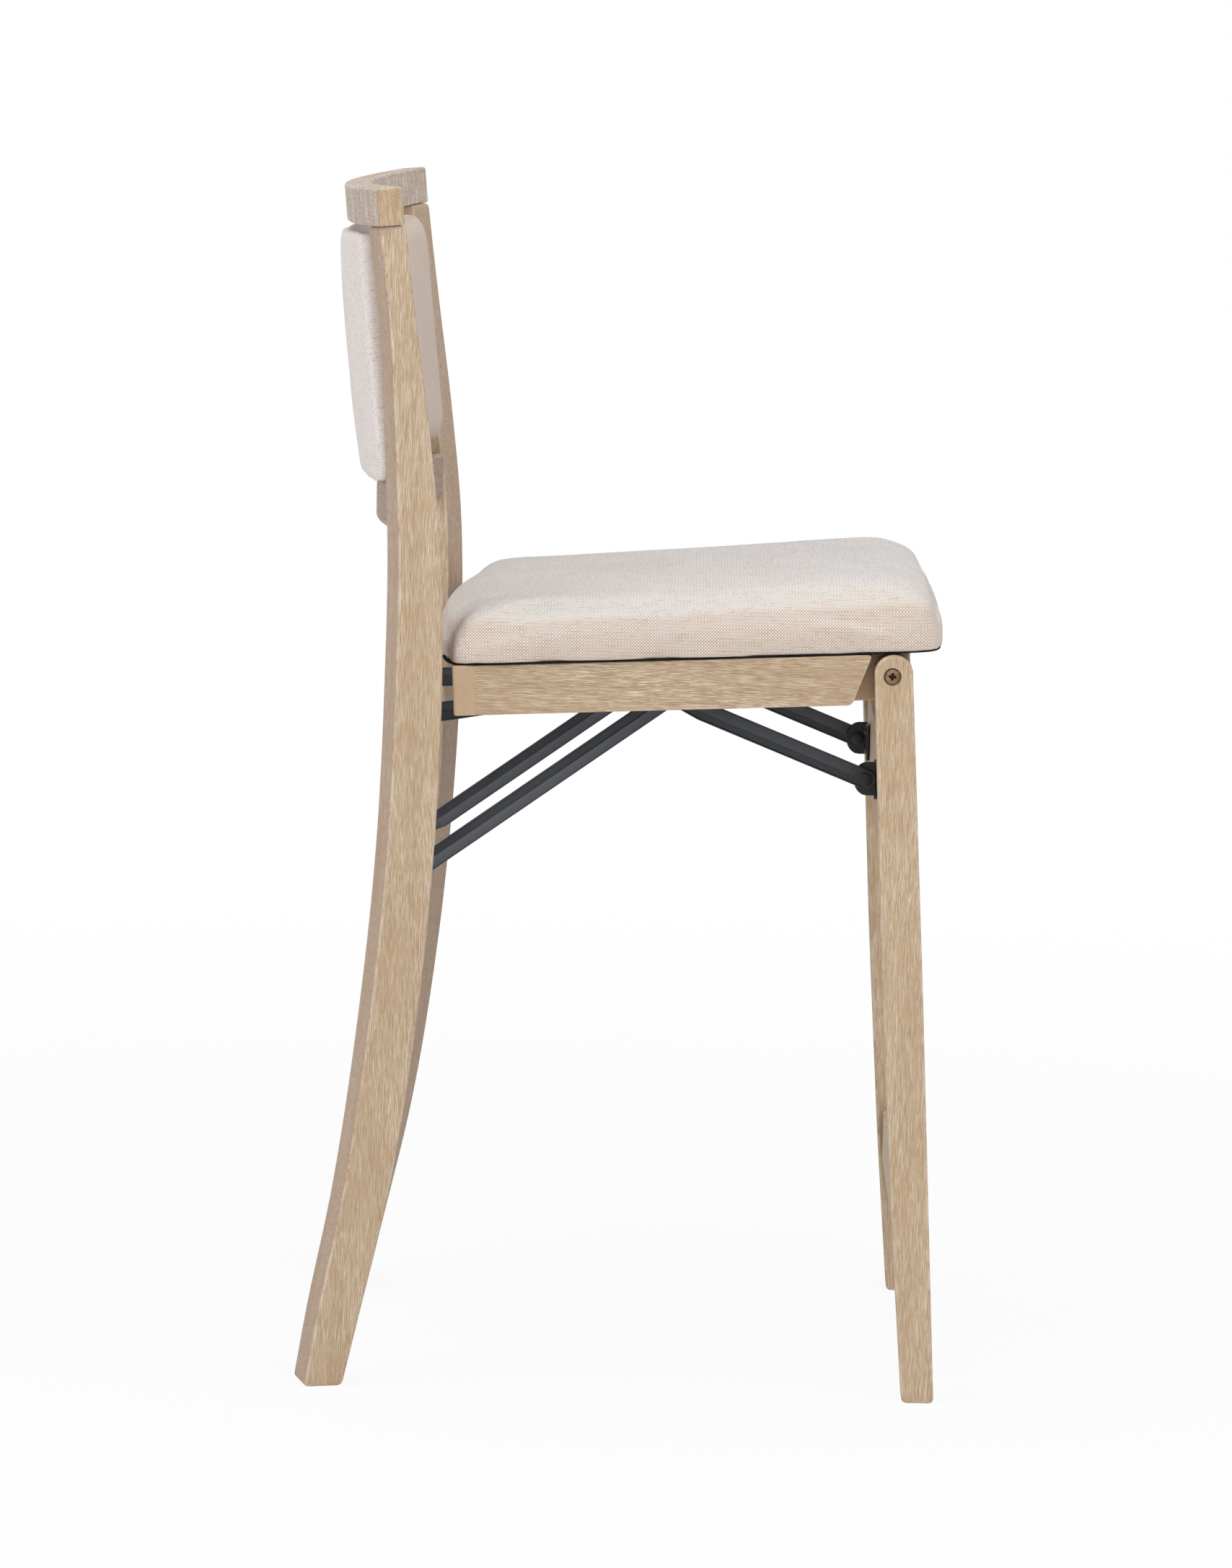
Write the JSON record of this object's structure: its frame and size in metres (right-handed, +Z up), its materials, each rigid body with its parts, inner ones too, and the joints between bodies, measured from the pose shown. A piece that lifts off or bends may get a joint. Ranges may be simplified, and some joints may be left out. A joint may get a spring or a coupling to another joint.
{
  "type": "folding counter stool",
  "caption": "Folding counter stool with curved wooden rear posts, a padded back between them, a crowned linen seat and flat steel folding bars.",
  "frame": {"origin": "centre of the stool's footprint box, on the floor", "axes": "+Z up, -Y towards the front of the seat, +X towards the sitter's left"},
  "size_m": [0.451, 0.4918, 0.9195],
  "materials": {
    "wood": "limed oak, satin, with pale streaks along the grain",
    "wood_shade": "limed oak, satin, seen in shade",
    "linen": "plain-weave linen look, beige",
    "black_steel": "satin charcoal powder coat",
    "bronze_screw": "dark bronze plate",
    "black_cloth": "thin black non-woven cloth",
    "plywood": "bare plywood, hidden inside the pads"
  },
  "bodies": {
    "rear_frame": {"rear_post_left": "wood", "rear_post_right": "wood", "top_rail": "wood", "lower_back_rail": "wood", "back_pad_board": "plywood", "back_pad": "linen", "upper_pivot_rod": "black_steel", "lower_pivot_rod": "black_steel"},
    "upper_rear_bars": {"upper_rear_bar_left": "black_steel", "upper_bar_rivet_left": "black_steel", "upper_rear_bar_right": "black_steel", "upper_bar_rivet_right": "black_steel"},
    "seat": {"seat_side_rail_left": "wood", "pivot_block_left": "wood_shade", "pivot_screw_left": "bronze_screw", "seat_bracket_left": "black_steel", "pivot_washer_left": "black_steel", "seat_bracket_screw_rear_left": "black_steel", "seat_bracket_screw_front_left": "black_steel", "seat_side_rail_right": "wood", "pivot_block_right": "wood_shade", "pivot_screw_right": "bronze_screw", "seat_bracket_right": "black_steel", "pivot_washer_right": "black_steel", "seat_bracket_screw_rear_right": "black_steel", "seat_bracket_screw_front_right": "black_steel", "seat_rear_rail": "wood", "seat_front_apron": "wood_shade", "dust_cover": "black_cloth", "seat_board": "plywood", "seat_cushion": "linen"},
    "front_legs": {"front_leg_left": "wood", "leg_bracket_left": "black_steel", "leg_bracket_rivet_left": "black_steel", "leg_bracket_screw_low_left": "black_steel", "leg_bracket_screw_high_left": "black_steel", "front_leg_right": "wood", "leg_bracket_right": "black_steel", "leg_bracket_rivet_right": "black_steel", "leg_bracket_screw_low_right": "black_steel", "leg_bracket_screw_high_right": "black_steel", "front_cross_rail": "wood", "footrest": "wood"},
    "front_bars": {"front_bar_left": "black_steel", "elbow_rivet_left": "black_steel", "front_bar_right": "black_steel", "elbow_rivet_right": "black_steel"},
    "lower_rear_bars": {"lower_rear_bar_left": "black_steel", "lower_bar_rivet_left": "black_steel", "lower_rear_bar_right": "black_steel", "lower_bar_rivet_right": "black_steel"}
  },
  "joints": [
    {"name": "upper_rear_bars_hinge", "type": "hinge", "parent": "rear_frame", "child": "upper_rear_bars", "pos_m": [0, 0.17063, 0.5127], "axis": [-1, 0, 0], "range_deg": [0, 61.45]},
    {"name": "seat_hinge", "type": "hinge", "parent": "upper_rear_bars", "child": "seat", "pos_m": [0, -0.04227, 0.5466], "axis": [-1, 0, 0], "range_deg": [-146.65, 0]},
    {"name": "front_legs_hinge", "type": "hinge", "parent": "seat", "child": "front_legs", "pos_m": [0, -0.20157, 0.5585], "axis": [-1, 0, 0], "range_deg": [0, 78.82]},
    {"name": "front_bars_hinge", "type": "hinge", "parent": "front_legs", "child": "front_bars", "pos_m": [0, -0.18557, 0.469], "axis": [-1, 0, 0], "range_deg": [-54.68, 0]},
    {"name": "lower_rear_bars_hinge", "type": "hinge", "parent": "rear_frame", "child": "lower_rear_bars", "pos_m": [0, 0.16803, 0.3907], "axis": [-1, 0, 0], "range_deg": [0, 43.98]}
  ],
  "couplings": [
    {"joint": "seat_hinge", "follows": "upper_rear_bars_hinge", "ratio": -2.3863},
    {"joint": "front_legs_hinge", "follows": "upper_rear_bars_hinge", "ratio": 1.2825},
    {"joint": "front_bars_hinge", "follows": "upper_rear_bars_hinge", "ratio": -0.8896},
    {"joint": "lower_rear_bars_hinge", "follows": "upper_rear_bars_hinge", "ratio": 0.7155}
  ]
}
